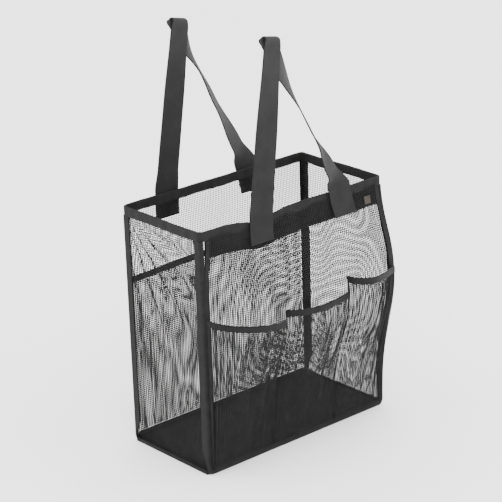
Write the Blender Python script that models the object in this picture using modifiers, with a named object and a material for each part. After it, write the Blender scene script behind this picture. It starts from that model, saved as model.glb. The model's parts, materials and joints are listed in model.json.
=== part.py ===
"""Mesh shower caddy: a see-through tote with taped seams, outside pockets and two webbing handles.

Frame: metres, origin under the middle of the base, +X along the width, -Y the front, +Z up.
Every sheet is a grid that a function puts in place and Solidify thickens, so the soft shapes
stay tied to the few sizes below.
"""

from math import cos, exp, log, pi, radians, sin

import bmesh
import bpy
from mathutils import Vector

# Bag body
BAG_WIDTH = 0.264
BAG_DEPTH = 0.130
BAG_HEIGHT = 0.280
NET_THICKNESS = 0.0008
BASE_THICKNESS = 0.0015
LAYER_GAP = 0.0003
FRONT_LAYER_GAP = 0.0010
WALL_STEPS = 24

# Rim and seam tapes
RIM_HEIGHT = 0.011
RIM_THICKNESS = 0.003
TAPE_THICKNESS = 0.0022
SIDE_FLANGE = 0.010
FRONT_FLANGE = 0.003
BOTTOM_FLANGE = 0.008
UNDER_FLANGE = 0.003
SEAM_CORNER_RADIUS = 0.006
BASE_SEAM_HEIGHT = 0.0042

# The front rim dips beside the left end of the front handle, and the wall under it down to the reach
RIM_SAG = 0.007
RIM_SAG_X = -0.052
RIM_SAG_SPREAD = 0.026
SAG_REACH = 0.069

# The full front stands out, most at the pocket seams and less at the right corner
SEAM_LEFT_X = -0.042
SEAM_RIGHT_X = 0.0485
SWELL_AT_LEFT_SEAM = 0.027
SWELL_AT_RIGHT_SEAM = 0.0295
SWELL_AT_RIGHT_CORNER = 0.021
SWELL_PEAK_HEIGHT = 0.168
SWELL_SHARPNESS = 2.3

# Hem band and edge tapes of the front's outer layer
BAND_HEIGHT = 0.030
BAND_THICKNESS = 0.002
BAND_LEFT_MARGIN = 0.012
BAND_RIGHT_MARGIN = 0.0105
EDGE_TAPE_WIDTH = 0.005
EDGE_TAPE_SLANT_LENGTH = 0.0527
LABEL_SIZE = 0.009
LABEL_THICKNESS = 0.0006
LABEL_FROM_RIGHT = 0.025
LABEL_FROM_TOP = 0.022

# Pockets: height of the mouth at its left and right end, puff, and where the puff is widest
POCKET_SEAM_GAP = 0.0012
POCKET_BINDING_HEIGHT = 0.0075
POCKET_BINDING_THICKNESS = 0.0022
PUFF_SHARPNESS = 0.6
LEFT_POCKET = {"left_top": 0.182, "right_top": 0.165, "puff": 0.026, "lean": 0.55}
MIDDLE_POCKET = {"left_top": 0.1765, "right_top": 0.1725, "puff": 0.013, "lean": 0.70}
RIGHT_POCKET = {"left_top": 0.1905, "right_top": 0.179, "puff": 0.018, "lean": 0.60}
BACK_POCKET = {"left_top": 0.193, "right_top": 0.193, "puff": 0.008, "lean": 1.0}

# Webbing handles: twist holds (place along the loop, degrees); 0 and 2 are its ends, 1 its crest,
# and the fold at the crest takes up FOLD_SHARE on each side of it and slopes down by fold_drop;
# the right leg bows backwards, leaning to its right and with its middle nearer the crest
WEBBING_WIDTH = 0.032
WEBBING_THICKNESS = 0.0014
HANDLE_END_LENGTH = 0.0280
HANDLE_RISE = 0.1875
FOLD_RADIUS = 0.0030
FOLD_SHARE = 0.05
BOW_LEAN = 0.85
BOW_ACROSS = 0.6
HINGE_LIFT = 0.0015
HINGE_CLEARANCE = 0.0036
FRONT_HANDLE = {
    "left_x": -0.049,
    "right_x": 0.066,
    "left_low_x": -0.052,
    "right_low_x": 0.071,
    "crest_x": -0.026,
    "fold_turn": 24.0,
    "fold_drop": 0.24,
    "bow": 0.018,
    "twist": (
        (0.0, 0.0),
        (0.35, 4.0),
        (0.9, 16.0),
        (1.0, 24.0),
        (1.1, 30.0),
        (1.5, 60.0),
        (1.68, 58.0),
        (1.9, 34.0),
        (2.0, 0.0),
    ),
}
BACK_HANDLE = {
    "left_x": -0.068,
    "right_x": 0.050,
    "left_low_x": -0.068,
    "right_low_x": 0.057,
    "crest_x": -0.038,
    "fold_turn": 26.0,
    "fold_drop": 0.25,
    "bow": 0.018,
    "twist": (
        (0.0, 0.0),
        (0.12, 7.0),
        (0.5, 9.0),
        (0.9, 16.0),
        (1.0, 26.0),
        (1.1, 32.0),
        (1.36, 63.0),
        (1.6, 52.0),
        (1.88, 34.0),
        (2.0, 0.0),
    ),
}

HALF_WIDTH = BAG_WIDTH / 2
HALF_DEPTH = BAG_DEPTH / 2
RIM_BOTTOM = BAG_HEIGHT - RIM_HEIGHT
NET_TOP = RIM_BOTTOM - LAYER_GAP
NET_BOTTOM = BASE_SEAM_HEIGHT + LAYER_GAP
POCKET_BOTTOM = BOTTOM_FLANGE + LAYER_GAP
POCKET_SIDE = HALF_WIDTH - FRONT_FLANGE - LAYER_GAP

# How far each layer lies outside the seam line of its wall (the net lies inside it)
NET_OUT = -(TAPE_THICKNESS + NET_THICKNESS) / 2 - 2 * LAYER_GAP
RIM_OUT = (TAPE_THICKNESS - RIM_THICKNESS) / 2
BAND_OUT = NET_OUT + (NET_THICKNESS + BAND_THICKNESS) / 2 + FRONT_LAYER_GAP
BAND_FACE = BAND_OUT + BAND_THICKNESS / 2
POCKET_OUT = BAND_FACE + FRONT_LAYER_GAP + NET_THICKNESS / 2
POCKET_BINDING_OUT = BAND_FACE + FRONT_LAYER_GAP + POCKET_BINDING_THICKNESS / 2
LABEL_OUT = BAND_FACE + LAYER_GAP + LABEL_THICKNESS / 2
WEBBING_OUT = BAND_FACE + FRONT_LAYER_GAP + WEBBING_THICKNESS / 2
HINGE_Y = HALF_DEPTH + WEBBING_OUT
HINGE_Z = BAG_HEIGHT + HINGE_LIFT


def clear_scene():
    for old in list(bpy.data.objects):
        bpy.data.objects.remove(old, do_unlink=True)


def make_collection(name):
    group = bpy.data.collections.new(name)
    bpy.context.scene.collection.children.link(group)
    return group


def make_material(name, colour, roughness):
    material = bpy.data.materials.new(name)
    material.use_nodes = True
    shader = material.node_tree.nodes["Principled BSDF"]
    shader.inputs["Base Color"].default_value = (*colour, 1.0)
    shader.inputs["Roughness"].default_value = roughness
    shader.inputs["Metallic"].default_value = 0.0
    return material


def eased(points, x):
    """Value at x on a smooth line through (x, value) pairs that rise in x."""
    if x <= points[0][0]:
        return points[0][1]
    for (x0, low), (x1, high) in zip(points, points[1:]):
        if x <= x1:
            return low + (high - low) * (1 - cos(pi * (x - x0) / (x1 - x0))) / 2
    return points[-1][1]


def front_swell(x, z):
    """How far the full front stands out of its flat wall at (x, z)."""
    across = (
        (-HALF_WIDTH, 0.0),
        (SEAM_LEFT_X, SWELL_AT_LEFT_SEAM),
        (SEAM_RIGHT_X, SWELL_AT_RIGHT_SEAM),
        (HALF_WIDTH, SWELL_AT_RIGHT_CORNER),
    )
    level = min(max(z / BAG_HEIGHT, 0.0), 1.0)
    warp = log(0.5) / log(SWELL_PEAK_HEIGHT / BAG_HEIGHT)
    return eased(across, x) * abs(sin(pi * level**warp)) ** SWELL_SHARPNESS


def front_sag(x, z):
    """How far the front hangs down at (x, z): full at the rim, nothing in the lower wall."""
    dip = RIM_SAG * exp(-(((x - RIM_SAG_X) / RIM_SAG_SPREAD) ** 2))
    return dip * eased(((RIM_BOTTOM - SAG_REACH, 0.0), (RIM_BOTTOM, 1.0)), z)


def front_point(x, z, out):
    """Point of the front wall, `out` metres outside its seam line."""
    return Vector((x, -(HALF_DEPTH + front_swell(x, z) + out), z - front_sag(x, z)))


def back_point(x, z, out):
    return Vector((x, HALF_DEPTH + out, z))


def finish(name, mesh, material, group, pivot=None):
    """Object from a mesh built in the bag's frame, with its origin at the pivot if it has one."""
    part = bpy.data.objects.new(name, mesh)
    if pivot is not None:
        for vertex in mesh.vertices:
            vertex.co -= pivot
        part.location = pivot
    mesh.materials.append(material)
    group.objects.link(part)
    return part


def sheet(name, columns, rows, place, thickness, material, group, pivot=None):
    """Thick sheet: `place` takes two shares from 0 to 1 and gives a point of its middle surface."""
    cage = bmesh.new()
    bmesh.ops.create_grid(cage, x_segments=columns, y_segments=rows, size=0.5)
    for vertex in cage.verts:
        vertex.co = place(vertex.co.x + 0.5, vertex.co.y + 0.5)
    mesh = bpy.data.meshes.new(name)
    cage.to_mesh(mesh)
    cage.free()
    part = finish(name, mesh, material, group, pivot)
    skin = part.modifiers.new("thickness", "SOLIDIFY")
    skin.thickness = thickness
    skin.offset = 0.0
    skin.use_even_offset = True
    return part


def block(name, low, high, material, group):
    cage = bmesh.new()
    bmesh.ops.create_cube(cage, size=1.0)
    low = Vector(low)
    high = Vector(high)
    for vertex in cage.verts:
        vertex.co = Vector(low[k] + (vertex.co[k] + 0.5) * (high[k] - low[k]) for k in range(3))
    mesh = bpy.data.meshes.new(name)
    cage.to_mesh(mesh)
    cage.free()
    return finish(name, mesh, material, group)


def between(low, high, share):
    return low + (high - low) * share


def make_front_net(net, group):
    side = HALF_WIDTH + NET_OUT - NET_THICKNESS / 2 - LAYER_GAP

    def place(u, v):
        return front_point(between(-side, side, u), between(NET_BOTTOM, NET_TOP, v), NET_OUT)

    sheet("front_mesh_panel", WALL_STEPS, WALL_STEPS, place, NET_THICKNESS, net, group)


def make_back_net(net, group):
    side = HALF_WIDTH + NET_OUT - NET_THICKNESS / 2 - LAYER_GAP
    inner = HALF_DEPTH + NET_OUT - NET_THICKNESS / 2
    low = (-side, inner, NET_BOTTOM)
    high = (side, inner + NET_THICKNESS, NET_TOP)
    block("back_mesh_panel", low, high, net, group)


def make_side_net(name, side, net, group):
    """Side panel whose front edge follows the bag's corner; side is -1 or 1."""
    x = side * (HALF_WIDTH + NET_OUT)
    edge = TAPE_THICKNESS / 2 + LAYER_GAP

    def place(u, v):
        z = between(NET_BOTTOM, NET_TOP, v)
        front = -HALF_DEPTH - front_swell(side * HALF_WIDTH, z) + edge
        return Vector((x, between(front, HALF_DEPTH - edge, u), z))

    sheet(name, 1, WALL_STEPS, place, NET_THICKNESS, net, group)


def make_base(fabric, group):
    side = HALF_WIDTH - TAPE_THICKNESS / 2 - LAYER_GAP
    end = HALF_DEPTH - UNDER_FLANGE - LAYER_GAP
    block("base_panel", (-side, -end, 0.0), (side, end, BASE_THICKNESS), fabric, group)


def make_rims(tape, group):
    side = HALF_WIDTH + RIM_OUT
    end = HALF_DEPTH + RIM_OUT
    reach = side + RIM_THICKNESS / 2

    def front(u, v):
        return front_point(between(-reach, reach, u), between(RIM_BOTTOM, BAG_HEIGHT, v), RIM_OUT)

    sheet("front_rim_binding", WALL_STEPS, 1, front, RIM_THICKNESS, tape, group)
    low = (-reach, end - RIM_THICKNESS / 2, RIM_BOTTOM)
    high = (reach, end + RIM_THICKNESS / 2, BAG_HEIGHT)
    block("back_rim_binding", low, high, tape, group)
    inner_end = end - RIM_THICKNESS / 2 - LAYER_GAP
    for name, x in (("left_rim_binding", -side), ("right_rim_binding", side)):
        low = (x - RIM_THICKNESS / 2, -inner_end, RIM_BOTTOM)
        high = (x + RIM_THICKNESS / 2, inner_end, BAG_HEIGHT)
        block(name, low, high, tape, group)


def seam_stations():
    """Places along a seam tape: down the left corner, along the bottom, up the right corner.

    Each is (x, z, direction into the wall, share of the way round the bottom corner).
    """
    radius = SEAM_CORNER_RADIUS
    leg_steps, corner_steps, bottom_steps = WALL_STEPS, 5, 12
    half = []
    for k in range(leg_steps):
        z = between(NET_TOP, radius, k / leg_steps)
        half.append((-HALF_WIDTH, z, (1.0, 0.0), 0.0))
    for k in range(corner_steps + 1):
        turn = pi / 2 * k / corner_steps
        x = -HALF_WIDTH + radius * (1 - cos(turn))
        z = radius * (1 - sin(turn))
        half.append((x, z, (cos(turn), sin(turn)), k / corner_steps))
    start = half[-1][0]
    middle = []
    for k in range(1, bottom_steps):
        middle.append((between(start, -start, k / bottom_steps), 0.0, (0.0, 1.0), 1.0))
    mirrored = [(-x, z, (-dx, dz), round_corner) for x, z, (dx, dz), round_corner in reversed(half)]
    return half + middle + mirrored


def make_seam_tape(name, wall_point, inward, tape, group):
    """Tape folded round the edge of the front or back wall, flat against both walls it joins."""
    stations = seam_stations()

    def place(u, v):
        x, z, (dx, dz), corner = stations[round(u * (len(stations) - 1))]
        facing = between(FRONT_FLANGE, BOTTOM_FLANGE, corner)
        around = eased(((SEAM_CORNER_RADIUS, UNDER_FLANGE), (5 * SEAM_CORNER_RADIUS, SIDE_FLANGE)), z)
        edge = wall_point(x, z, 0.0)
        if v < 0.25:
            return edge + Vector((dx * facing, 0.0, dz * facing))
        if v > 0.75:
            return edge + Vector((0.0, inward * around, 0.0))
        return edge

    lift = TAPE_THICKNESS / 2

    def raised(u, v):
        point = place(u, v)
        point.z = max(point.z, lift)
        return point

    sheet(name, len(stations) - 1, 2, raised, TAPE_THICKNESS, tape, group)


def make_base_seams(tape, group):
    end = HALF_DEPTH - UNDER_FLANGE - LAYER_GAP
    for name, side in (("left_base_seam_binding", -1), ("right_base_seam_binding", 1)):
        outer = side * (HALF_WIDTH + TAPE_THICKNESS / 2)
        inner = side * (HALF_WIDTH - TAPE_THICKNESS / 2)
        low = (min(outer, inner), -end, 0.0)
        high = (max(outer, inner), end, BASE_SEAM_HEIGHT)
        block(name, low, high, tape, group)


def make_hem_band(fabric, group):
    left = -HALF_WIDTH + BAND_LEFT_MARGIN
    right = HALF_WIDTH - BAND_RIGHT_MARGIN

    def place(u, v):
        z = between(BAG_HEIGHT - BAND_HEIGHT, NET_TOP, v)
        return front_point(between(left, right, u), z, BAND_OUT)

    sheet("front_hem_band", 22, 2, place, BAND_THICKNESS, fabric, group)


def make_edge_tape(name, side, margin, tape, group):
    """Narrow tape from the end of the hem band to the corner, then down beside the seam tape."""
    corner_x = HALF_WIDTH - FRONT_FLANGE - LAYER_GAP
    top_x = HALF_WIDTH - margin + EDGE_TAPE_WIDTH + LAYER_GAP

    def place(u, v):
        z = between(POCKET_BOTTOM, NET_TOP, v)
        outer = eased(((NET_TOP - EDGE_TAPE_SLANT_LENGTH, corner_x), (NET_TOP, min(top_x, corner_x))), z)
        x = side * (outer - EDGE_TAPE_WIDTH * (u if side < 0 else 1 - u))
        return front_point(x, z, BAND_OUT)

    sheet(name, 1, WALL_STEPS, place, BAND_THICKNESS, tape, group)


def pocket_top(pocket, share):
    return between(pocket["left_top"], pocket["right_top"], share)


def pocket_puff(pocket, share, z):
    """How far a pocket stands off the wall behind it, `share` of the way across it."""
    level = (z - POCKET_BOTTOM) / (pocket_top(pocket, share) - POCKET_BOTTOM)
    level = min(max(level, 0.0), 1.0)
    return pocket["puff"] * abs(sin(pi * share ** pocket["lean"])) * sin(pi / 2 * level) ** PUFF_SHARPNESS


def make_pocket(name, pocket, left, right, wall_point, net, tape, group):
    """Pocket sheet and the binding along its mouth, between two places across the wall."""

    def place(u, v):
        x = between(left, right, u)
        top = pocket_top(pocket, u) - POCKET_BINDING_HEIGHT - LAYER_GAP
        z = between(POCKET_BOTTOM, top, v)
        return wall_point(x, z, POCKET_OUT + pocket_puff(pocket, u, z))

    def place_binding(u, v):
        x = between(left, right, u)
        z = pocket_top(pocket, u) - POCKET_BINDING_HEIGHT * (1 - v)
        return wall_point(x, z, POCKET_BINDING_OUT + pocket_puff(pocket, u, z))

    sheet(name, 16, 8, place, NET_THICKNESS, net, group)
    sheet(name + "_binding", 16, 1, place_binding, POCKET_BINDING_THICKNESS, tape, group)


def make_pockets(net, tape, group):
    half_gap = POCKET_SEAM_GAP / 2
    spans = (
        ("left_front_pocket", LEFT_POCKET, -POCKET_SIDE, SEAM_LEFT_X - half_gap),
        ("middle_front_pocket", MIDDLE_POCKET, SEAM_LEFT_X + half_gap, SEAM_RIGHT_X - half_gap),
        ("right_front_pocket", RIGHT_POCKET, SEAM_RIGHT_X + half_gap, POCKET_SIDE),
    )
    for name, pocket, left, right in spans:
        make_pocket(name, pocket, left, right, front_point, net, tape, group)
    make_pocket("back_pocket", BACK_POCKET, -POCKET_SIDE, POCKET_SIDE, back_point, net, tape, group)


def make_label(fabric, group):
    def place(u, v):
        x = HALF_WIDTH - LABEL_FROM_RIGHT + LABEL_SIZE * (u - 0.5)
        z = BAG_HEIGHT - LABEL_FROM_TOP + LABEL_SIZE * (v - 0.5)
        return front_point(x, z, LABEL_OUT)

    sheet("blank_label", 1, 1, place, LABEL_THICKNESS, fabric, group)


def make_handle_ends(webbing, group):
    """The four sewn ends of the handles, outside the rim, up to just below the hinge line."""
    top = HINGE_Z - HINGE_CLEARANCE
    bottom = top - HANDLE_END_LENGTH
    walls = (("front", FRONT_HANDLE, front_point), ("back", BACK_HANDLE, back_point))
    for wall, handle, wall_point in walls:
        for side in ("left", "right"):
            low_x = handle[side + "_low_x"]
            high_x = handle[side + "_x"]

            def place(u, v):
                x = between(low_x, high_x, v) + WEBBING_WIDTH * (u - 0.5)
                z = between(bottom, top, v)
                point = wall_point(x, z, WEBBING_OUT)
                point.z = z
                return point

            name = f"{wall}_handle_{side}_end"
            sheet(name, 2, 5, place, WEBBING_THICKNESS, webbing, group)


def handle_middle(handle, y, t):
    """Middle of the webbing at t: 0 the left end, 1 the crest, 2 the right end."""
    start = HINGE_Z + WEBBING_THICKNESS
    crest = HINGE_Z + HANDLE_RISE - FOLD_RADIUS
    turn = radians(handle["fold_turn"])
    back = Vector((-sin(turn), cos(turn), 0.0))
    fold_left, fold_right = 1 - FOLD_SHARE, 1 + FOLD_SHARE
    foot_left = Vector((handle["left_x"], y, start))
    foot_right = Vector((handle["right_x"], y, start))
    top_left = Vector((handle["crest_x"], y, crest))
    top_right = top_left + back * 2 * FOLD_RADIUS
    if t < fold_left:
        return foot_left.lerp(top_left, t / fold_left)
    if t > fold_right:
        share = (t - fold_right) / (2 - fold_right)
        bow = handle["bow"] * sin(pi * share**BOW_LEAN)
        return top_right.lerp(foot_right, share) + Vector((BOW_ACROSS * bow, bow, 0.0))
    angle = pi * (t - fold_left) / (fold_right - fold_left)
    return top_left + back * FOLD_RADIUS * (1 - cos(angle)) + Vector((0, 0, FOLD_RADIUS * sin(angle)))


def handle_across(handle, y, t):
    """Vector across the webbing at t, from its middle line to a width of one on its right side.

    It is square to the webbing along each leg, slopes at the crest and is level at the sewn ends.
    """
    step = 0.01
    along = handle_middle(handle, y, min(t + step, 2)) - handle_middle(handle, y, max(t - step, 0))
    along.normalize()
    angle = radians(eased(handle["twist"], t))
    across = Vector((cos(angle), sin(angle), 0.0))
    from_crest = abs(t - 1)
    square = eased(((FOLD_SHARE, 0.0), (4 * FOLD_SHARE, 1.0), (0.85, 1.0), (1.0, 0.0)), from_crest)
    if square > 0:
        across.z = -square * (across.x * along.x + across.y * along.y) / along.z
    across.z -= handle["fold_drop"] * eased(((FOLD_SHARE, 1.0), (4 * FOLD_SHARE, 0.0)), from_crest)
    return across / (across - along * across.dot(along)).length


def make_handle(name, handle, y, webbing, group):
    leg_steps, fold_steps = 16, 8
    leg_end, fold_end = 1 - FOLD_SHARE, 1 + FOLD_SHARE
    places = [leg_end * k / leg_steps for k in range(leg_steps)]
    places += [between(leg_end, fold_end, k / fold_steps) for k in range(fold_steps)]
    places += [between(fold_end, 2, k / leg_steps) for k in range(leg_steps + 1)]

    def place(u, v):
        t = places[round(v * (len(places) - 1))]
        return handle_middle(handle, y, t) + handle_across(handle, y, t) * WEBBING_WIDTH * (u - 0.5)

    pivot = Vector((0.0, y, HINGE_Z))
    sheet(name, 2, len(places) - 1, place, WEBBING_THICKNESS, webbing, group, pivot)


def build():
    clear_scene()
    group = make_collection("mesh_shower_caddy")
    net = make_material("black_net", (0.03, 0.03, 0.03), 0.8)
    tape = make_material("binding_tape", (0.028, 0.028, 0.028), 0.75)
    webbing = make_material("webbing", (0.02, 0.02, 0.02), 0.7)
    band = make_material("layered_mesh_band", (0.024, 0.024, 0.024), 0.8)
    fabric = make_material("base_fabric", (0.015, 0.015, 0.015), 0.6)
    label = make_material("label_fabric", (0.07, 0.06, 0.05), 0.8)
    make_front_net(net, group)
    make_back_net(net, group)
    make_side_net("left_mesh_panel", -1, net, group)
    make_side_net("right_mesh_panel", 1, net, group)
    make_base(fabric, group)
    make_rims(tape, group)
    make_seam_tape("front_seam_binding", front_point, 1, tape, group)
    make_seam_tape("back_seam_binding", back_point, -1, tape, group)
    make_base_seams(tape, group)
    make_hem_band(band, group)
    make_edge_tape("left_front_edge_tape", -1, BAND_LEFT_MARGIN, tape, group)
    make_edge_tape("right_front_edge_tape", 1, BAND_RIGHT_MARGIN, tape, group)
    make_pockets(net, tape, group)
    make_label(label, group)
    make_handle_ends(webbing, group)
    make_handle("front_handle", FRONT_HANDLE, -HINGE_Y, webbing, group)
    make_handle("back_handle", BACK_HANDLE, HINGE_Y, webbing, group)


build()
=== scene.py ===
import json
import math

import bpy
import numpy as np
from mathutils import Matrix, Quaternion, Vector


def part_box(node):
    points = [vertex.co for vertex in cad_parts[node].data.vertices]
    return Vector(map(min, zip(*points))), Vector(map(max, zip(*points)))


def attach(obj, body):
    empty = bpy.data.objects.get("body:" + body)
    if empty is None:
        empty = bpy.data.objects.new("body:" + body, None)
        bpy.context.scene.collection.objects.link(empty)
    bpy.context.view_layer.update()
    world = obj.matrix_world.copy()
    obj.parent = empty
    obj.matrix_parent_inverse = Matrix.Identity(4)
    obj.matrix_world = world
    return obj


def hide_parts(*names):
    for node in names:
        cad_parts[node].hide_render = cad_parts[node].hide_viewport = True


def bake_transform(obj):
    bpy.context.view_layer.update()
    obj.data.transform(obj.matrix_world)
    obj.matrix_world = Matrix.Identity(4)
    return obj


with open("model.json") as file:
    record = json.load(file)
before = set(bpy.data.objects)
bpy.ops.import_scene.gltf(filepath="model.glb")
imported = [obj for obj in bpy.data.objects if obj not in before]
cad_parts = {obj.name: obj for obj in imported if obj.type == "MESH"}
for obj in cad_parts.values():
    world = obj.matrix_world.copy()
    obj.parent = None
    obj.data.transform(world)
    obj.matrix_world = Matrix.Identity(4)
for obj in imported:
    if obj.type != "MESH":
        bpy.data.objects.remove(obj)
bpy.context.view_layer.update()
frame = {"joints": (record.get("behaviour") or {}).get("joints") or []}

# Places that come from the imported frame
seamLow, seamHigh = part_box("back_seam_binding")
rimLow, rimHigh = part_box("back_rim_binding")
netLow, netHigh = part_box("back_mesh_panel")
baseLow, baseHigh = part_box("base_panel")
tape = {"thick": 0.0022, "ply": 0.0009, "sideWidth": 0.010, "frontWidth": 0.0035,
        "bottomWidth": 0.008, "underWidth": 0.003}
bag = {
    "halfWidth": seamHigh.x - tape["thick"] / 2,
    "halfDepth": seamHigh.y - tape["thick"] / 2,
    "top": rimHigh.z,
    "rimBottom": rimLow.z,
    "netTop": netHigh.z,
    "netBottom": netLow.z,
    "netInside": 0.0021,     # the nets lie this far inside the seam line
    "bandOutside": 0.0003,
    "pocketOutside": 0.0027,
}

# The filled front: it stands out most at the two pocket seams, and its rim dips beside the left strap
full = {"leftSeam": -0.042, "rightSeam": 0.0485, "atLeftSeam": 0.027, "atRightSeam": 0.0295,
        "atRightCorner": 0.021, "peak": 0.168, "sharpness": 2.3,
        "sag": 0.007, "sagAt": -0.052, "sagSpread": 0.026, "sagReach": 0.069}


def ease(points, x):
    value = np.full(np.shape(x), float(points[0][1]))
    for (x0, low), (x1, high) in zip(points, points[1:]):
        share = np.clip((x - x0) / (x1 - x0), 0, 1)
        value = value + (high - low) * (1 - np.cos(np.pi * share)) / 2
    return value


def frontSwell(x, z):
    half = bag["halfWidth"]
    across = ((-half, 0.0), (full["leftSeam"], full["atLeftSeam"]),
              (full["rightSeam"], full["atRightSeam"]), (half, full["atRightCorner"]))
    level = np.clip(z / bag["top"], 0, 1)
    warp = math.log(0.5) / math.log(full["peak"] / bag["top"])
    return ease(across, x) * np.abs(np.sin(np.pi * level ** warp)) ** full["sharpness"]


def frontSag(x, z):
    dip = full["sag"] * np.exp(-(((x - full["sagAt"]) / full["sagSpread"]) ** 2))
    return dip * ease(((bag["rimBottom"] - full["sagReach"], 0.0), (bag["rimBottom"], 1.0)), z)


def point(x, y, z):
    return np.stack(np.broadcast_arrays(x, y, z), axis=-1).astype(float)


def onFront(x, z, out):
    return point(x, -(bag["halfDepth"] + frontSwell(x, z) + out), z - frontSag(x, z))


def onBack(x, z, out):
    return point(x, bag["halfDepth"] + out, z)


# Materials
shineLevel = 0.14    # these cloths are dull


def newMaterial(name):
    material = bpy.data.materials.new(name)
    material.use_nodes = True
    return material, material.node_tree.nodes, material.node_tree.links


def mathNode(nodes, links, operation, first, second=None):
    node = nodes.new("ShaderNodeMath")
    node.operation = operation
    for socket, value in zip(node.inputs, (first, second)):
        if isinstance(value, (int, float)):
            socket.default_value = value
        elif value is not None:
            links.new(value, socket)
    return node.outputs[0]


def ripple(nodes, links, value, pitch, shift=0.0):
    turned = mathNode(nodes, links, "MULTIPLY_ADD", value, 2 * math.pi / pitch)
    turned.node.inputs[2].default_value = shift
    return mathNode(nodes, links, "SINE", turned)


def clothFinish(name, look):
    material, nodes, links = newMaterial(name)
    shader = nodes["Principled BSDF"]
    coords = nodes.new("ShaderNodeTexCoord")
    split = nodes.new("ShaderNodeSeparateXYZ")
    links.new(coords.outputs["UV"], split.inputs[0])
    ribs = ripple(nodes, links, split.outputs["X"], look["ribPitch"])
    yarns = ripple(nodes, links, split.outputs["Y"], look["yarnPitch"])
    weave = mathNode(nodes, links, "MULTIPLY", ribs, yarns)
    height = mathNode(nodes, links, "ADD", mathNode(nodes, links, "MULTIPLY", ribs, look["ribShare"]), weave)

    cloud = nodes.new("ShaderNodeTexNoise")
    cloud.inputs["Scale"].default_value = look["cloudScale"]
    cloud.inputs["Detail"].default_value = 4.0
    links.new(coords.outputs["Object"], cloud.inputs["Vector"])
    fuzz = nodes.new("ShaderNodeTexNoise")
    fuzz.inputs["Scale"].default_value = look["fuzzScale"]
    fuzz.inputs["Detail"].default_value = 2.0
    links.new(coords.outputs["Object"], fuzz.inputs["Vector"])

    mix = mathNode(nodes, links, "MULTIPLY_ADD", height, look["stripe"])
    links.new(cloud.outputs["Fac"], mix.node.inputs[2])
    ramp = nodes.new("ShaderNodeValToRGB")
    ramp.color_ramp.elements[0].position = 0.25
    ramp.color_ramp.elements[0].color = (*look["dark"], 1)
    ramp.color_ramp.elements[1].position = 0.8
    ramp.color_ramp.elements[1].color = (*look["light"], 1)
    links.new(mix, ramp.inputs[0])
    links.new(ramp.outputs[0], shader.inputs["Base Color"])

    rough = mathNode(nodes, links, "MULTIPLY_ADD", fuzz.outputs["Fac"], 0.25)
    rough.node.inputs[2].default_value = look["rough"] - 0.12
    links.new(rough, shader.inputs["Roughness"])
    bump = nodes.new("ShaderNodeBump")
    bump.inputs["Strength"].default_value = look["bump"]
    bump.inputs["Distance"].default_value = look["relief"]
    tall = mathNode(nodes, links, "MULTIPLY_ADD", fuzz.outputs["Fac"], 0.8)
    links.new(height, tall.node.inputs[2])
    links.new(tall, bump.inputs["Height"])
    links.new(bump.outputs[0], shader.inputs["Normal"])
    shader.inputs["Sheen Weight"].default_value = look["sheen"]
    shader.inputs["Sheen Roughness"].default_value = 0.5
    shader.inputs["Specular IOR Level"].default_value = shineLevel
    return material


def threadFinish(name, look):
    material, nodes, links = newMaterial(name)
    shader = nodes["Principled BSDF"]
    coords = nodes.new("ShaderNodeTexCoord")
    cloud = nodes.new("ShaderNodeTexNoise")
    cloud.inputs["Scale"].default_value = look["cloudScale"]
    cloud.inputs["Detail"].default_value = 3.0
    links.new(coords.outputs["Object"], cloud.inputs["Vector"])
    ramp = nodes.new("ShaderNodeValToRGB")
    ramp.color_ramp.elements[0].position = 0.3
    ramp.color_ramp.elements[0].color = (*look["dark"], 1)
    ramp.color_ramp.elements[1].position = 0.75
    ramp.color_ramp.elements[1].color = (*look["light"], 1)
    links.new(cloud.outputs["Fac"], ramp.inputs[0])
    links.new(ramp.outputs[0], shader.inputs["Base Color"])
    rough = mathNode(nodes, links, "MULTIPLY_ADD", cloud.outputs["Fac"], 0.2)
    rough.node.inputs[2].default_value = look["rough"] - 0.1
    links.new(rough, shader.inputs["Roughness"])
    shader.inputs["Specular IOR Level"].default_value = shineLevel
    return material


webbingBlack = clothFinish("webbingBlack", {
    "ribPitch": 0.0019, "yarnPitch": 0.0013, "ribShare": 0.6, "cloudScale": 55.0, "fuzzScale": 2200.0,
    "dark": (0.0045, 0.0045, 0.0045), "light": (0.0095, 0.0095, 0.0095), "rough": 0.75, "bump": 0.35,
    "relief": 0.0002, "sheen": 0.03, "stripe": 0.10})
bindingBlack = clothFinish("bindingBlack", {
    "ribPitch": 0.0013, "yarnPitch": 0.0011, "ribShare": 1.2, "cloudScale": 90.0, "fuzzScale": 2600.0,
    "dark": (0.0032, 0.0032, 0.0032), "light": (0.0085, 0.0085, 0.0083), "rough": 0.78, "bump": 0.4,
    "relief": 0.0002, "sheen": 0.02, "stripe": 0.12})
bandBlack = clothFinish("bandBlack", {
    "ribPitch": 0.0028, "yarnPitch": 0.0028, "ribShare": 0.3, "cloudScale": 60.0, "fuzzScale": 1500.0,
    "dark": (0.003, 0.003, 0.003), "light": (0.0075, 0.0075, 0.0075), "rough": 0.85, "bump": 0.6,
    "relief": 0.0004, "sheen": 0.02, "stripe": 0.15})
baseBlack = clothFinish("baseBlack", {
    "ribPitch": 0.0009, "yarnPitch": 0.0009, "ribShare": 0.2, "cloudScale": 30.0, "fuzzScale": 1800.0,
    "dark": (0.0025, 0.0025, 0.0025), "light": (0.006, 0.006, 0.006), "rough": 0.7, "bump": 0.3,
    "relief": 0.0002, "sheen": 0.02, "stripe": 0.15})
labelGrey = clothFinish("labelGrey", {
    "ribPitch": 0.0007, "yarnPitch": 0.0007, "ribShare": 0.4, "cloudScale": 200.0, "fuzzScale": 3000.0,
    "dark": (0.022, 0.018, 0.015), "light": (0.042, 0.036, 0.030), "rough": 0.7, "bump": 0.4,
    "relief": 0.0001, "sheen": 0.0, "stripe": 0.15})
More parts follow.
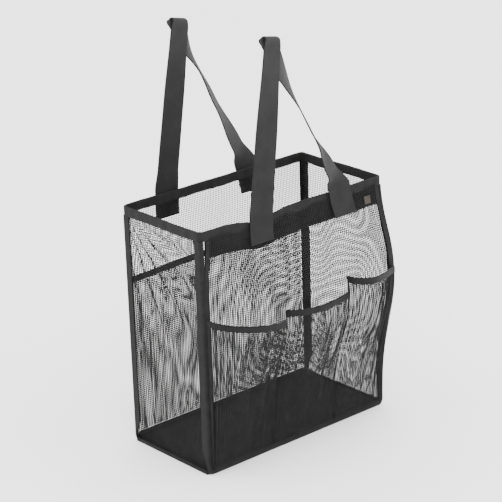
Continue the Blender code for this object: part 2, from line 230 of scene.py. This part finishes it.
netBlack = threadFinish("netBlack", {
    "cloudScale": 70.0, "dark": (0.006, 0.0058, 0.006), "light": (0.014, 0.0134, 0.0137), "rough": 0.7})
stitchBlack = threadFinish("stitchBlack", {
    "cloudScale": 400.0, "dark": (0.010, 0.010, 0.010), "light": (0.020, 0.020, 0.020), "rough": 0.6})
print("finishes made")


# Cutting and sewing: every piece is made flat, in metres, then laid on its place on the bag
def startAfresh():
    if bpy.context.object and bpy.context.object.mode != "OBJECT":
        bpy.ops.object.mode_set(mode="OBJECT")
    bpy.ops.object.select_all(action="DESELECT")


def cutCloth(name, width, length, columns, rows):
    startAfresh()
    bpy.ops.mesh.primitive_grid_add(x_subdivisions=columns, y_subdivisions=rows, size=1,
                                    location=(width / 2, length / 2, 0))
    cloth = bpy.context.active_object
    cloth.name = cloth.data.name = name
    cloth.scale = (width, length, 1)
    bpy.ops.object.transform_apply(location=True, rotation=True, scale=True)
    pattern = cloth.data.uv_layers.active.data
    places = np.zeros(len(pattern) * 2)
    pattern.foreach_get("uv", places)
    places = places.reshape(-1, 2) * (width, length)
    pattern.foreach_set("uv", places.ravel())
    return cloth


def sewOn(piece, surface):
    mesh = piece.data
    flat = np.zeros(len(mesh.vertices) * 3)
    mesh.vertices.foreach_get("co", flat)
    across, along, depth = flat.reshape(-1, 3).T
    step = 0.0004
    rightward = surface(across + step, along) - surface(across - step, along)
    upward = surface(across, along + step) - surface(across, along - step)
    outward = np.cross(rightward, upward)
    outward /= np.maximum(np.linalg.norm(outward, axis=1), 1e-12)[:, None]
    mesh.vertices.foreach_set("co", (surface(across, along) + outward * depth[:, None]).ravel())
    mesh.update()


def applyAll(piece):
    startAfresh()
    piece.select_set(True)
    bpy.context.view_layer.objects.active = piece
    for modifier in list(piece.modifiers):
        bpy.ops.object.modifier_apply(modifier=modifier.name)


def thicken(piece, thickness):
    skin = piece.modifiers.new("thickness", "SOLIDIFY")
    skin.thickness = thickness
    skin.offset = 0.0
    applyAll(piece)


def smoothAll(piece, angle=50):
    startAfresh()
    piece.select_set(True)
    bpy.context.view_layer.objects.active = piece
    bpy.ops.object.shade_smooth_by_angle(angle=math.radians(angle))


def dress(piece, material, nodes=(), body="bag"):
    piece.data.materials.clear()
    piece.data.materials.append(material)
    if nodes:
        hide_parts(*nodes)
    if body:
        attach(piece, body)


# Nets of round yarn
net = {"pitch": 0.0024, "yarn": 0.00062, "sides": 6, "bend": 0.007}


def addYarns(length, span, upright):
    startAfresh()
    turn = (math.pi / 2, 0, 0) if upright else (0, math.pi / 2, 0)
    middle = (0, length / 2) if upright else (length / 2, 0)
    lift = net["yarn"] * (0.25 if upright else -0.25)
    bpy.ops.mesh.primitive_cylinder_add(vertices=net["sides"], radius=net["yarn"] / 2, depth=length,
                                        end_fill_type="NGON", location=(*middle, lift), rotation=turn)
    yarn = bpy.context.active_object
    bpy.ops.object.transform_apply(location=True, rotation=True, scale=True)
    for edge in yarn.data.edges:
        start, end = (yarn.data.vertices[k].co for k in edge.vertices)
        edge.select = (start - end).length > length / 2
    for face in yarn.data.polygons:
        face.select = False
    bpy.ops.object.mode_set(mode="EDIT")
    bpy.ops.mesh.select_mode(type="EDGE")
    bpy.ops.mesh.subdivide(number_cuts=max(1, round(length / net["bend"]) - 1))
    bpy.ops.object.mode_set(mode="OBJECT")
    count = round(span / net["pitch"]) + 1
    gap = span / (count - 1)
    rows = yarn.modifiers.new("rows", "ARRAY")
    rows.use_relative_offset = False
    rows.use_constant_offset = True
    rows.constant_offset_displace = (gap, 0, 0) if upright else (0, gap, 0)
    rows.count = count
    applyAll(yarn)
    return yarn


def weaveNet(name, width, length, surface):
    upright = addYarns(length, width, True)
    level = addYarns(width, length, False)
    startAfresh()
    level.select_set(True)
    upright.select_set(True)
    bpy.context.view_layer.objects.active = upright
    bpy.ops.object.join()
    upright.name = upright.data.name = name
    sewOn(upright, surface)
    startAfresh()
    upright.select_set(True)
    bpy.context.view_layer.objects.active = upright
    bpy.ops.object.shade_smooth()
    return upright


def hangNet(name, width, length, surface, nodes):
    piece = weaveNet(name, width, length, surface)
    dress(piece, netBlack, nodes)
    print(name, "woven,", len(piece.data.polygons), "faces")
    return piece


# Wall nets
wall = {"side": bag["halfWidth"] - bag["netInside"] - 0.0007, "edge": 0.0014}
wallHeight = bag["netTop"] - bag["netBottom"]


def fadeAtEdges(share, width=0.12):
    return np.clip(share / width, 0, 1) * np.clip((1 - share) / width, 0, 1)


def frontNetPlace(across, up):
    x = across - wall["side"]
    z = up + bag["netBottom"]
    soft = fadeAtEdges(across / (2 * wall["side"])) * fadeAtEdges(up / wallHeight)
    wave = 0.0010 * np.sin(x * 52 + z * 18) + 0.0007 * np.sin(x * 97 - z * 31 + 1.3)
    return onFront(x, z, -bag["netInside"] + wave * soft)


def backNetPlace(across, up):
    x = wall["side"] - across
    z = up + bag["netBottom"]
    soft = fadeAtEdges(across / (2 * wall["side"])) * fadeAtEdges(up / wallHeight)
    wave = 0.0012 * np.sin(x * 38 + 0.8) + 0.0009 * np.sin(x * 71 + z * 26)
    return onBack(x, z, -bag["netInside"] + wave * soft)


def leftNetPlace(across, up):
    length = 2 * (bag["halfDepth"] - wall["edge"])
    y = bag["halfDepth"] - wall["edge"] - across
    z = up + bag["netBottom"]
    drop = wallHeight - up
    reach = np.hypot(across, drop)
    turn = np.arctan2(drop, across + 1e-6)
    fan = 0.0026 * np.sin(turn * 20) * np.clip(reach / 0.03, 0, 1) * np.exp(-((reach / 0.13) ** 2))
    falls = 0.0010 * np.sin(across * 330 + 2 * np.sin(up * 21)) * np.exp(-((across / 0.05) ** 2))
    soft = fadeAtEdges(across / length, 0.1) * fadeAtEdges(up / wallHeight, 0.05)
    return point(-(bag["halfWidth"] - bag["netInside"] + (fan + falls) * soft), y, z)


def rightNetPlace(across, up):
    length = 2 * (bag["halfDepth"] - wall["edge"])
    z = up + bag["netBottom"]
    front = -bag["halfDepth"] - frontSwell(bag["halfWidth"], z) + wall["edge"]
    back = bag["halfDepth"] - wall["edge"]
    y = front + (back - front) * across / length
    soft = fadeAtEdges(across / length, 0.1) * fadeAtEdges(up / wallHeight, 0.05)
    wave = 0.0012 * np.sin(y * 120 + z * 20) + 0.0010 * np.sin(y * 61 - z * 44)
    return point(bag["halfWidth"] - bag["netInside"] + wave * soft, y, z)


sideLength = 2 * (bag["halfDepth"] - wall["edge"])
hangNet("front_net", 2 * wall["side"], wallHeight, frontNetPlace, ["front_mesh_panel"])
hangNet("back_net", 2 * wall["side"], wallHeight, backNetPlace, ["back_mesh_panel"])
hangNet("left_net", sideLength, wallHeight, leftNetPlace, ["left_mesh_panel"])
hangNet("right_net", sideLength, wallHeight, rightNetPlace, ["right_mesh_panel"])


# Tapes and stitches
stitch = {"length": 0.0022, "pitch": 0.0031, "width": 0.00045, "height": 0.0003}


def sewStitches(name, start, end, across, depth, surface):
    startAfresh()
    bpy.ops.mesh.primitive_ico_sphere_add(subdivisions=1, radius=0.5, location=(start, across, depth),
                                          scale=(stitch["length"], stitch["width"], stitch["height"]))
    row = bpy.context.active_object
    bpy.ops.object.transform_apply(location=True, rotation=True, scale=True)
    row.name = row.data.name = name
    count = max(2, round((end - start) / stitch["pitch"]) + 1)
    repeat = row.modifiers.new("repeat", "ARRAY")
    repeat.use_relative_offset = False
    repeat.use_constant_offset = True
    repeat.constant_offset_displace = ((end - start) / (count - 1), 0, 0)
    repeat.count = count
    applyAll(row)
    sewOn(row, surface)
    smoothAll(row, 80)
    dress(row, stitchBlack)
    return row


def loopTable(halfX, halfY, radius):
    corners = []
    for cx, cy, begin in ((1, -1, -90), (1, 1, 0), (-1, 1, 90), (-1, -1, 180)):
        for k in range(13):
            a = math.radians(begin + 90 * k / 12)
            corners.append((cx * (halfX - radius) + radius * math.cos(a),
                            cy * (halfY - radius) + radius * math.sin(a), math.cos(a), math.sin(a)))
    corners = [(0.0, -halfY, 0.0, -1.0)] + corners + [(0.0, -halfY, 0.0, -1.0)]
    table = np.array(corners)
    lengths = np.concatenate([[0], np.cumsum(np.linalg.norm(np.diff(table[:, :2], axis=0), axis=1))])
    return table, lengths


rim = {"height": bag["top"] - bag["rimBottom"], "gap": 0.00105, "pinch": 0.0007, "radius": 0.0045}
rim["table"], rim["lengths"] = loopTable(bag["halfWidth"] - 0.0004, bag["halfDepth"] - 0.0004, rim["radius"])
rim["around"] = rim["lengths"][-1]
rim["fold"] = math.pi * rim["gap"]
rim["leg"] = rim["height"] - rim["gap"] - tape["ply"] / 2
rim["width"] = 2 * rim["leg"] + rim["fold"]


def foldedSection(across, leg, gap, pinch):
    fold = math.pi * gap
    turn = np.clip((across - leg) / fold, 0, 1) * np.pi
    first = across < leg
    share = np.where(first, across / leg, (2 * leg + fold - across) / leg)
    share = np.clip(share, -0.1, 1)
    spread = pinch + (gap - pinch) * np.clip(share, 0, 1) ** 0.7
    out = np.where(across < leg, spread, np.where(across > leg + fold, -spread, gap * np.cos(turn)))
    pastFold = across > leg + fold
    up = np.where(across < leg, across, np.where(pastFold, 2 * leg + fold - across, leg + gap * np.sin(turn)))
    return out, up


def rimPlace(along, across):
    along = along % rim["around"]
    x, y, nx, ny = (np.interp(along, rim["lengths"], rim["table"][:, k]) for k in range(4))
    out, up = foldedSection(across, rim["leg"], rim["gap"], rim["pinch"])
    out = out + 0.00025 * np.sin(along * 410) * np.sin(along * 67)
    z = bag["rimBottom"] + up
    z = z + 0.0004 * np.sin(along * 58 + 1) * np.sin(along * 23)
    front = np.clip((-y - (bag["halfDepth"] - 0.012)) / 0.010, 0, 1)
    push = frontSwell(x, z) * front
    return point(x + nx * out, y + ny * out - push, z - frontSag(x, z) * front)


def closeLoop(piece):
    startAfresh()
    piece.select_set(True)
    bpy.context.view_layer.objects.active = piece
    bpy.ops.object.mode_set(mode="EDIT")
    bpy.ops.mesh.select_all(action="SELECT")
    bpy.ops.mesh.remove_doubles(threshold=0.00002)
    bpy.ops.object.mode_set(mode="OBJECT")


rimTape = cutCloth("rim_tape", rim["around"], rim["width"], 300, 18)
sewOn(rimTape, rimPlace)
closeLoop(rimTape)
thicken(rimTape, tape["ply"])
smoothAll(rimTape)
dress(rimTape, bindingBlack,
      ["front_rim_binding", "back_rim_binding", "left_rim_binding", "right_rim_binding"])
rim["stitchEnd"], rim["stitchEdge"] = 0.001, 0.0022
for name, across in (("rim_stitches_outside", rim["stitchEdge"]),
                     ("rim_stitches_inside", rim["width"] - rim["stitchEdge"])):
    sewStitches(name, rim["stitchEnd"], rim["around"] - rim["stitchEnd"], across, tape["ply"] / 2, rimPlace)
print("rim bound")


# Seam tapes run down one corner, along the bottom and up the other corner
seam = {"radius": 0.006, "soft": 0.0014, "ply": 0.0016, "top": bag["netTop"] + 0.0005}
seam["leg"] = seam["top"] - seam["radius"]
seam["bend"] = math.pi / 2 * seam["radius"]
seam["floor"] = 2 * (bag["halfWidth"] - seam["radius"])
seam["length"] = 2 * (seam["leg"] + seam["bend"]) + seam["floor"]
seam["width"] = tape["sideWidth"] + tape["frontWidth"]


def seamStation(along):
    leg, bend, floor, radius = seam["leg"], seam["bend"], seam["floor"], seam["radius"]
    half = bag["halfWidth"]
    mirrored = along > seam["length"] / 2
    run = np.where(mirrored, seam["length"] - along, along)
    turn = np.clip((run - leg) / bend, 0, 1) * np.pi / 2
    x = -half + radius * (1 - np.cos(turn)) + np.maximum(run - leg - bend, 0)
    z = np.where(run < leg, seam["top"] - run, radius * (1 - np.sin(turn)))
    side = np.where(mirrored, -1.0, 1.0)
    return x * side, z, np.cos(turn) * side, np.sin(turn), turn / (np.pi / 2)


def seamSection(across, z, corner):
    facing = tape["frontWidth"] + (tape["bottomWidth"] - tape["frontWidth"]) * corner
    around = ease(((seam["radius"], tape["underWidth"]), (5 * seam["radius"], tape["sideWidth"])), z)
    share = across / seam["width"]
    place = np.where(share < 0.5, (share * 2 - 1) * around, (share * 2 - 1) * facing)
    root = np.sqrt(place ** 2 + seam["soft"] ** 2)
    return (place + root) / 2, (root - place) / 2


def frontSeamPlace(along, across):
    x, z, dx, dz, corner = seamStation(along)
    facing, around = seamSection(across, z, corner)
    edge = onFront(x + dx * facing, z + dz * facing, 0.0)
    wave = 0.0003 * np.sin(along * 75) * np.sin(along * 31 + 1)
    edge[..., 1] += around
    edge[..., 2] = np.maximum(edge[..., 2], seam["ply"] / 2)
    edge[..., 0] += wave * np.cos(np.pi / 2 * corner)
    return edge


def backSeamPlace(along, across):
    x, z, dx, dz, corner = seamStation(along)
    facing, around = seamSection(seam["width"] - across, z, corner)
    edge = onBack(x + dx * facing, z + dz * facing, 0.0)
    edge[..., 1] -= around
    edge[..., 2] = np.maximum(edge[..., 2], seam["ply"] / 2)
    return edge


for name, place, node in (("front_seam_tape", frontSeamPlace, "front_seam_binding"),
                          ("back_seam_tape", backSeamPlace, "back_seam_binding")):
    seamTape = cutCloth(name, seam["length"], seam["width"], 260, 14)
    sewOn(seamTape, place)
    thicken(seamTape, seam["ply"])
    smoothAll(seamTape)
    dress(seamTape, bindingBlack, [node])
    nearSide = 0.06 if place is frontSeamPlace else 0.94
    nearFront = 1 - nearSide
    sewStitches(name + "_side_stitches", 0.002, seam["length"] - 0.002, seam["width"] * nearSide,
                seam["ply"] / 2, place)
    sewStitches(name + "_front_stitches", 0.002, seam["length"] - 0.002, seam["width"] * nearFront,
                seam["ply"] / 2, place)
print("corners taped")


# Hem band, edge tapes
band = {"height": 0.030, "left": 0.012, "right": 0.0105, "ply": 0.0012, "underRim": 0.0035,
        "netProud": 0.0009}
band["width"] = 2 * bag["halfWidth"] - band["left"] - band["right"]
band["bottom"] = bag["top"] - band["height"]
band["length"] = bag["netTop"] + band["underRim"] - band["bottom"]


def bandPlaceAt(out):
    def place(across, up):
        x = across - bag["halfWidth"] + band["left"]
        z = band["bottom"] + up
        fold = 0.0005 * np.sin(x * 140 + z * 60) + 0.0004 * np.sin(x * 61 - z * 190)
        return onFront(x, z, out + fold * fadeAtEdges(across / band["width"], 0.05))
    return place


hemBand = cutCloth("hem_band", band["width"], band["length"], 120, 14)
sewOn(hemBand, bandPlaceAt(bag["bandOutside"] - 0.0003))
thicken(hemBand, band["ply"])
smoothAll(hemBand)
dress(hemBand, bandBlack, ["front_hem_band"])
hangNet("hem_band_net", band["width"], band["length"], bandPlaceAt(bag["bandOutside"] + band["netProud"]), [])
sewStitches("hem_band_stitches", 0.002, band["width"] - 0.002, 0.0016, 0.0003,
            bandPlaceAt(bag["bandOutside"] + band["netProud"]))

edgeTape = {"width": 0.005, "slant": 0.0527, "bottom": tape["bottomWidth"] + 0.0003, "ply": 0.0018}
edgeTape["length"] = bag["netTop"] - edgeTape["bottom"]
edgeTape["corner"] = bag["halfWidth"] - 0.003 - 0.0003


def edgeTapePlace(side, margin):
    def place(across, up):
        z = edgeTape["bottom"] + up
        high = min(bag["halfWidth"] - margin + edgeTape["width"] + 0.0003, edgeTape["corner"])
        outer = ease(((bag["netTop"] - edgeTape["slant"], edgeTape["corner"]), (bag["netTop"], high)), z)
        inward = across if side < 0 else edgeTape["width"] - across
        return onFront(side * (outer - inward), z, bag["bandOutside"])
    return place


for name, side, margin in (("left_front_edge_tape", -1, band["left"]),
                           ("right_front_edge_tape", 1, band["right"])):
    stripName = name.replace("front_edge", "edge") + "_strip"
    edging = cutCloth(stripName, edgeTape["width"], edgeTape["length"], 4, 90)
    sewOn(edging, edgeTapePlace(side, margin))
    thicken(edging, edgeTape["ply"])
    smoothAll(edging)
    dress(edging, bindingBlack, [name])
print("band and edges sewn")


# Pockets
mouth = {"height": 0.0075, "gap": 0.0007, "pinch": 0.0005, "ply": 0.0008}
pocketBottom = tape["bottomWidth"] + 0.0003
pocketSide = bag["halfWidth"] - 0.003 - 0.0003
halfSeam = 0.0006
pockets = {
    "left_pocket": {"node": "left_front_pocket", "left": -pocketSide, "right": full["leftSeam"] - halfSeam,
                    "leftTop": 0.182, "rightTop": 0.165, "puff": 0.026, "lean": 0.55, "wall": onFront},
    "middle_pocket": {"node": "middle_front_pocket", "left": full["leftSeam"] + halfSeam,
                      "right": full["rightSeam"] - halfSeam,
                      "leftTop": 0.1765, "rightTop": 0.1725, "puff": 0.013, "lean": 0.70, "wall": onFront},
    "right_pocket": {"node": "right_front_pocket", "left": full["rightSeam"] + halfSeam, "right": pocketSide,
                     "leftTop": 0.1905, "rightTop": 0.179, "puff": 0.018, "lean": 0.60, "wall": onFront},
    "back_pocket": {"node": "back_pocket", "left": -pocketSide, "right": pocketSide,
                    "leftTop": 0.193, "rightTop": 0.193, "puff": 0.008, "lean": 1.0, "wall": onBack},
}


def pocketPuff(pocket, share, z):
    top = pocket["leftTop"] + (pocket["rightTop"] - pocket["leftTop"]) * share
    level = np.clip((z - pocketBottom) / (top - pocketBottom), 0, 1)
    share = np.clip(share, 0, 1)
    return pocket["puff"] * np.abs(np.sin(np.pi * share ** pocket["lean"])) * np.sin(np.pi / 2 * level) ** 0.6


def pocketTop(pocket, share):
    return pocket["leftTop"] + (pocket["rightTop"] - pocket["leftTop"]) * share


def pocketNetPlace(pocket, width, length):
    def place(across, up):
        share = across / width
        if pocket["wall"] is onBack:
            share = 1 - share
        top = pocketTop(pocket, share) - mouth["height"] * 0.6
        z = pocketBottom + (top - pocketBottom) * up / length
        soft = fadeAtEdges(share, 0.1) * fadeAtEdges(up / length, 0.1)
        wave = 0.0008 * np.sin(share * 19 + up * 30) + 0.0006 * np.sin(share * 37 - up * 55)
        x = pocket["left"] + (pocket["right"] - pocket["left"]) * share
        return pocket["wall"](x, z, bag["pocketOutside"] + pocketPuff(pocket, share, z) + wave * soft)
    return place


def pocketMouthPlace(pocket, width):
    leg = mouth["height"] - mouth["gap"] - mouth["ply"] / 2

    def place(along, across):
        share = along / width
        if pocket["wall"] is onBack:
            share = 1 - share
        out, up = foldedSection(across, leg, mouth["gap"], mouth["pinch"])
        z = pocketTop(pocket, share) - mouth["height"] + up
        x = pocket["left"] + (pocket["right"] - pocket["left"]) * share
        return pocket["wall"](x, z, bag["pocketOutside"] + 0.0002 + pocketPuff(pocket, share, z) + out)
    return place, 2 * leg + math.pi * mouth["gap"]


for name, pocket in pockets.items():
    chord = np.linspace(0, 1, 200)
    middle = (pocketBottom + pocket["leftTop"]) / 2
    line = pocket["wall"](pocket["left"] + (pocket["right"] - pocket["left"]) * chord, middle + 0 * chord,
                          pocketPuff(pocket, chord, middle + 0 * chord))
    width = float(np.linalg.norm(np.diff(line, axis=0), axis=1).sum())
    length = max(pocket["leftTop"], pocket["rightTop"]) - pocketBottom - mouth["height"] * 0.6
    hangNet(name + "_net", width, length, pocketNetPlace(pocket, width, length), [pocket["node"]])
    place, tapeWidth = pocketMouthPlace(pocket, width)
    binding = cutCloth(name + "_tape", width, tapeWidth, 70, 14)
    sewOn(binding, place)
    thicken(binding, mouth["ply"])
    smoothAll(binding)
    dress(binding, bindingBlack, [pocket["node"] + "_binding"])
    sewStitches(name + "_stitches", 0.001, width - 0.001, 0.0015, mouth["ply"] / 2, place)
print("pockets sewn")


# Base
def basePlace(across, up):
    x = across + baseLow.x
    y = up + baseLow.y
    return point(x, y, (baseLow.z + baseHigh.z) / 2 + 0 * x)


baseSize = baseHigh - baseLow
basePanel = cutCloth("base_cloth", baseSize.x, baseSize.y, 80, 40)
sewOn(basePanel, basePlace)
thicken(basePanel, baseSize.z)
smoothAll(basePanel)
dress(basePanel, baseBlack, ["base_panel"])

for name in ("left_base_seam_binding", "right_base_seam_binding"):
    low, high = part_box(name)
    startAfresh()
    bpy.ops.mesh.primitive_cube_add(size=1, location=(low + high) / 2)
    strip = bpy.context.active_object
    strip.name = strip.data.name = name.replace("binding", "tape")
    strip.scale = high - low
    bpy.ops.object.transform_apply(location=True, rotation=True, scale=True)
    rounding = strip.modifiers.new("rounding", "BEVEL")
    rounding.width = 0.0007
    rounding.segments = 3
    applyAll(strip)
    smoothAll(strip)
    dress(strip, bindingBlack, [name])
print("base sewn")


# Label
labelLow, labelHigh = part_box("blank_label")
label = {"size": labelHigh.x - labelLow.x, "ply": 0.0006, "z": 0.258, "proud": 0.0019}


def labelPlace(across, up):
    x = labelLow.x + across
    return onFront(x, label["z"] + up - label["size"] / 2, bag["bandOutside"] + label["proud"])


patch = cutCloth("blank_patch", label["size"], label["size"], 8, 8)
sewOn(patch, labelPlace)
thicken(patch, label["ply"])
smoothAll(patch)
dress(patch, labelGrey, ["blank_label"])


# Handles
webbing = {"width": 0.032, "thick": 0.0014, "endLength": 0.028, "rise": 0.1875, "foldRadius": 0.0030,
           "foldShare": 0.05, "bow": 0.018, "bowLean": 0.85, "bowAcross": 0.6, "clearance": 0.0036,
           "outside": 0.0030, "blendBelow": 0.0035, "blendAbove": 0.0055}
hingeAt = {joint["child"]: Vector(joint["pos_m"]) for joint in frame["joints"]}
handles = {
    "front_handle": {"leftX": -0.049, "rightX": 0.066, "leftLowX": -0.052, "rightLowX": 0.071,
                     "crestX": -0.026, "foldTurn": 24.0, "foldDrop": 0.24, "wall": onFront,
                     "twist": ((0.0, 0.0), (0.35, 4.0), (0.9, 16.0), (1.0, 24.0), (1.1, 30.0), (1.5, 60.0),
                               (1.68, 58.0), (1.9, 34.0), (2.0, 0.0))},
    "back_handle": {"leftX": -0.068, "rightX": 0.050, "leftLowX": -0.068, "rightLowX": 0.057,
                    "crestX": -0.038, "foldTurn": 26.0, "foldDrop": 0.25, "wall": onBack,
                    "twist": ((0.0, 0.0), (0.12, 7.0), (0.5, 9.0), (0.9, 16.0), (1.0, 26.0), (1.1, 32.0),
                              (1.36, 63.0), (1.6, 52.0), (1.88, 34.0), (2.0, 0.0))},
}


def handleLine(handle, hinge, t):
    startZ = hinge.z + webbing["thick"]
    crestZ = hinge.z + webbing["rise"] - webbing["foldRadius"]
    turn = math.radians(handle["foldTurn"])
    back = np.array((-math.sin(turn), math.cos(turn), 0.0))
    radius, share = webbing["foldRadius"], webbing["foldShare"]
    footLeft = np.array((handle["leftX"], hinge.y, startZ))
    footRight = np.array((handle["rightX"], hinge.y, startZ))
    topLeft = np.array((handle["crestX"], hinge.y, crestZ))
    topRight = topLeft + back * 2 * radius
    if t < 1 - share:
        return footLeft + (topLeft - footLeft) * t / (1 - share)
    if t > 1 + share:
        down = (t - 1 - share) / (1 - share)
        bow = webbing["bow"] * math.sin(math.pi * down ** webbing["bowLean"])
        return topRight + (footRight - topRight) * down + np.array((webbing["bowAcross"] * bow, bow, 0))
    angle = math.pi * (t - 1 + share) / (2 * share)
    return topLeft + back * radius * (1 - math.cos(angle)) + np.array((0, 0, radius * math.sin(angle)))


def handleAcross(handle, hinge, t):
    step = 0.01
    share = webbing["foldShare"]
    along = handleLine(handle, hinge, min(t + step, 2)) - handleLine(handle, hinge, max(t - step, 0))
    along /= np.linalg.norm(along)
    angle = math.radians(float(ease(handle["twist"], np.array(float(t)))))
    across = np.array((math.cos(angle), math.sin(angle), 0.0))
    square = float(ease(((share, 0.0), (4 * share, 1.0), (0.85, 1.0), (1.0, 0.0)), np.array(abs(t - 1.0))))
    if square > 0:
        across[2] = -square * (across[0] * along[0] + across[1] * along[1]) / along[2]
    across[2] -= handle["foldDrop"] * float(ease(((share, 1.0), (4 * share, 0.0)), np.array(abs(t - 1.0))))
    return across / np.linalg.norm(across - along * across.dot(along))


def handleStations(handle, hinge):
    top = hinge.z - webbing["clearance"]
    ends = []
    for side, lowX, highX in (("left", handle["leftLowX"], handle["leftX"]),
                              ("right", handle["rightLowX"], handle["rightX"])):
        run = []
        for k in range(17):
            share = k / 16
            z = top - webbing["endLength"] * (1 - share)
            x = lowX + (highX - lowX) * share
            place = handle["wall"](np.array(x), np.array(z), webbing["outside"])
            place[2] = z
            run.append((place, np.array((1.0, 0.0, 0.0))))
        ends.append(run)
    loop = []
    share = webbing["foldShare"]
    places = [(1 - share) * k / 60 for k in range(1, 60)]
    places += [1 - share + 2 * share * k / 24 for k in range(25)]
    places += [1 + share + (1 - share) * k / 60 for k in range(1, 60)]
    for t in places:
        loop.append((handleLine(handle, hinge, t), handleAcross(handle, hinge, t)))
    return ends[0] + loop + ends[1][::-1]


def handlePlace(handle, hinge):
    stations = handleStations(handle, hinge)
    middle = np.array([s[0] for s in stations])
    across = np.array([s[1] for s in stations])
    lengths = np.concatenate([[0], np.cumsum(np.linalg.norm(np.diff(middle, axis=0), axis=1))])

    def place(side, along):
        centre = np.stack([np.interp(along, lengths, middle[:, k]) for k in range(3)], axis=-1)
        over = np.stack([np.interp(along, lengths, across[:, k]) for k in range(3)], axis=-1)
        return centre + over * (side - webbing["width"] / 2)[..., None]
    return place, lengths[-1]


for name, handle in handles.items():
    hinge = hingeAt[name]
    place, length = handlePlace(handle, hinge)
    strap = cutCloth(name + "_webbing", webbing["width"], length, 10, 260)
    sewOn(strap, place)
    thicken(strap, webbing["thick"])
    smoothAll(strap)
    dress(strap, webbingBlack, [name, name + "_left_end", name + "_right_end"], body=None)
    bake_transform(strap)
    print(name, "webbing", round(length * 1000), "mm long")


# Floor, light, camera
startAfresh()
bpy.ops.mesh.primitive_plane_add(size=12, location=(0, 0, 0))
floor = bpy.context.active_object
floor.name = "floor"
floorFinish, floorNodes, floorLinks = newMaterial("paleFloor")
floorShader = floorNodes["Principled BSDF"]
floorCoords = floorNodes.new("ShaderNodeTexCoord")
floorCloud = floorNodes.new("ShaderNodeTexNoise")
floorCloud.inputs["Scale"].default_value = 1.5
floorLinks.new(floorCoords.outputs["Object"], floorCloud.inputs["Vector"])
floorRamp = floorNodes.new("ShaderNodeValToRGB")
floorRamp.color_ramp.elements[0].color = (0.90, 0.90, 0.90, 1)
floorRamp.color_ramp.elements[1].color = (0.93, 0.93, 0.93, 1)
floorLinks.new(floorCloud.outputs["Fac"], floorRamp.inputs[0])
floorLinks.new(floorRamp.outputs[0], floorShader.inputs["Base Color"])
floorShader.inputs["Roughness"].default_value = 0.7
floor.data.materials.append(floorFinish)

world = bpy.data.worlds.new("studio")
world.use_nodes = True
world.node_tree.nodes["Background"].inputs["Color"].default_value = (1, 1, 1, 1)
world.node_tree.nodes["Background"].inputs["Strength"].default_value = 3.4
bpy.context.scene.world = world


def addLight(name, place, aim, size, power):
    startAfresh()
    bpy.ops.object.light_add(type="AREA", location=place)
    lamp = bpy.context.active_object
    lamp.name = name
    lamp.data.size = size
    lamp.data.energy = power
    lamp.rotation_euler = (Vector(aim) - Vector(place)).to_track_quat("-Z", "Y").to_euler()


addLight("keyLight", (-1.3, -1.5, 1.5), (0, 0, 0.2), 0.9, 28)
addLight("fillLight", (1.6, -1.0, 1.0), (0, 0, 0.2), 1.2, 6)

view = {"azimuth": 40.92, "elevation": 21.87, "roll": 1.92, "distance": 2.265, "lens": 144.5,
        "from": (0, 0, 0.140), "aim": (-0.0067, 0, 0.2101)}
turn, tilt = math.radians(view["azimuth"]), math.radians(view["elevation"])
away = Vector((-math.sin(turn) * math.cos(tilt), -math.cos(turn) * math.cos(tilt), math.sin(tilt)))
startAfresh()
bpy.ops.object.camera_add(location=Vector(view["from"]) + away * view["distance"])
camera = bpy.context.active_object
camera.data.lens = view["lens"]
camera.data.sensor_width = 36
toward = Vector(view["aim"]) - camera.location
camera.rotation_mode = "QUATERNION"
rolled = Quaternion((0, 0, 1), math.radians(-view["roll"]))
camera.rotation_quaternion = toward.to_track_quat("-Z", "Y") @ rolled
bpy.context.scene.camera = camera
